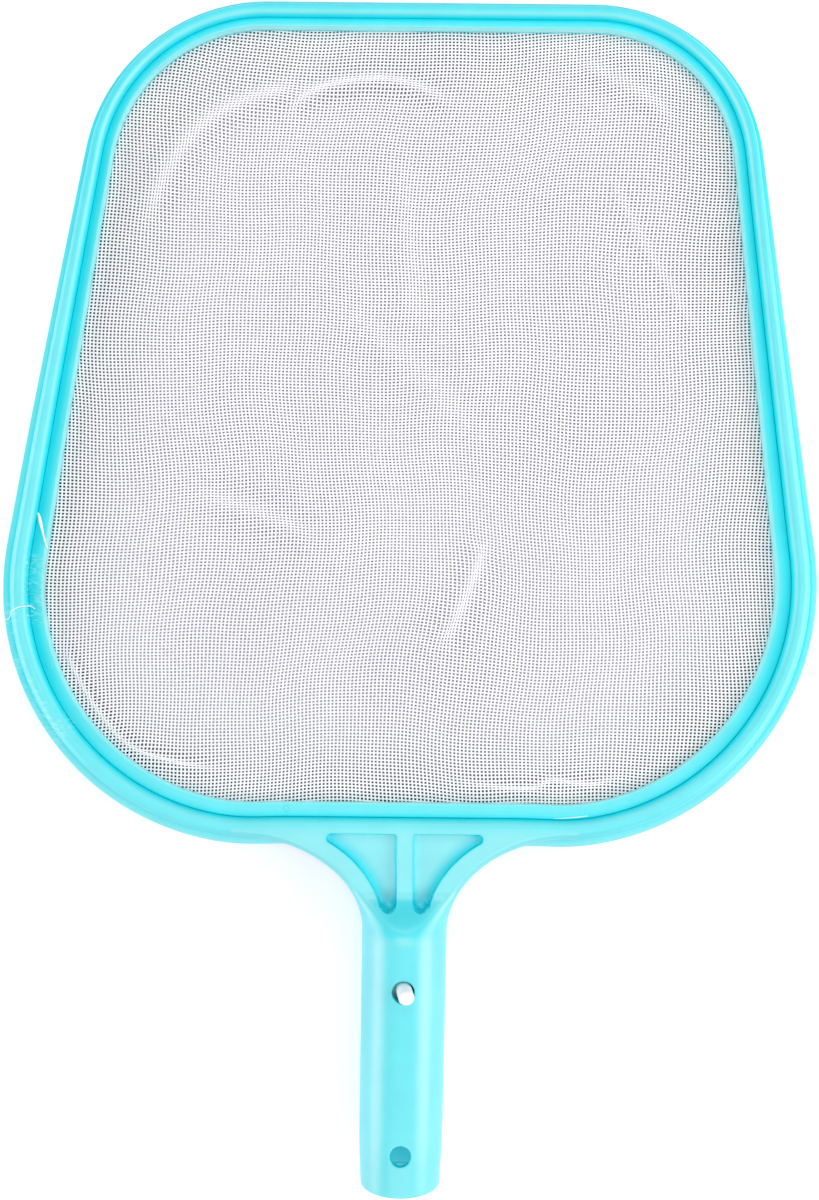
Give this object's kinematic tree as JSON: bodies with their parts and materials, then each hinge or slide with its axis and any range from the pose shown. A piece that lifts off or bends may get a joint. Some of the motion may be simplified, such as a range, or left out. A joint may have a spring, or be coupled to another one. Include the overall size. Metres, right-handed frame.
{
  "type": "leaf skimmer net",
  "caption": "Flat pool leaf skimmer: a rounded hoop with a clamped woven net, a ribbed neck and a tubular handle whose sprung buttons lock a telescopic pole.",
  "frame": {"origin": "centre of the handle's open end", "axes": "+Y runs from the open end to the hoop's far edge, +Z is the side that the net's retaining ring is on, X is across the hoop"},
  "size_m": [0.2904, 0.42, 0.0382],
  "materials": {
    "frame_plastic": "moulded turquoise polypropylene, slightly translucent",
    "ring_plastic": "moulded turquoise polypropylene, slightly translucent",
    "net_weave": "plain-woven white polyester thread",
    "clip_nylon": "moulded white nylon"
  },
  "bodies": {
    "frame": {"hoop": "frame_plastic", "neck": "frame_plastic", "handle": "frame_plastic", "retaining_ring": "ring_plastic", "net": "net_weave", "clip_bend": "clip_nylon"},
    "front_arm": {"clip_arm_front": "clip_nylon"},
    "rear_arm": {"clip_arm_rear": "clip_nylon"}
  },
  "joints": [
    {"name": "front_button_press", "type": "hinge", "parent": "frame", "child": "front_arm", "pos_m": [0.00011, 0.024, 0.0026], "axis": [-0.999, 0, 0.0436], "range_deg": [0, 6], "stiffness_Nm_per_rad": 6, "springref_deg": -1.72},
    {"name": "rear_button_press", "type": "hinge", "parent": "frame", "child": "rear_arm", "pos_m": [-0.00011, 0.024, -0.0026], "axis": [0.999, 0, -0.0436], "range_deg": [0, 6], "stiffness_Nm_per_rad": 6, "springref_deg": -1.72}
  ]
}
